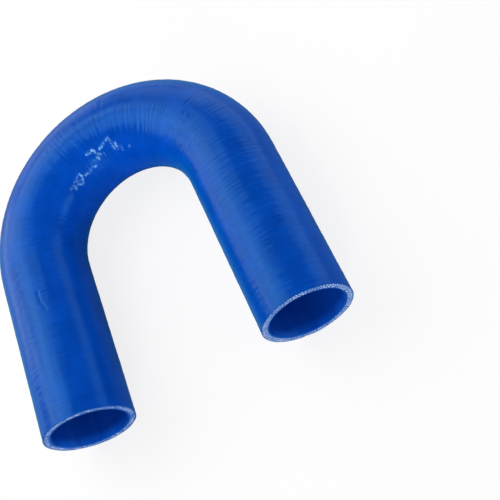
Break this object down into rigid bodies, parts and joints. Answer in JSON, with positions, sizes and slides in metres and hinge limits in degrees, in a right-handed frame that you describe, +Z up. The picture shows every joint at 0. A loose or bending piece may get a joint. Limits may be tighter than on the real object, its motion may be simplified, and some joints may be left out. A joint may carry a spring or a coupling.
{
  "type": "silicone elbow hose",
  "caption": "Pre-formed silicone rubber hose, round in section and bent into a U, with straight legs that push over pipe stubs.",
  "frame": {"origin": "on the floor, under the middle of the hose's outline", "axes": "+Z up, square to the plane of the bend; +Y from the open ends towards the bend; +X towards the slightly longer leg"},
  "size_m": [0.1656, 0.1716, 0.046],
  "materials": {
    "silicone_blue": "satin gloss, with the fine rings that the wrapping tape leaves when the hose is cured"
  },
  "bodies": {
    "root": {"elbow_hose": "silicone_blue"}
  },
  "joints": []
}
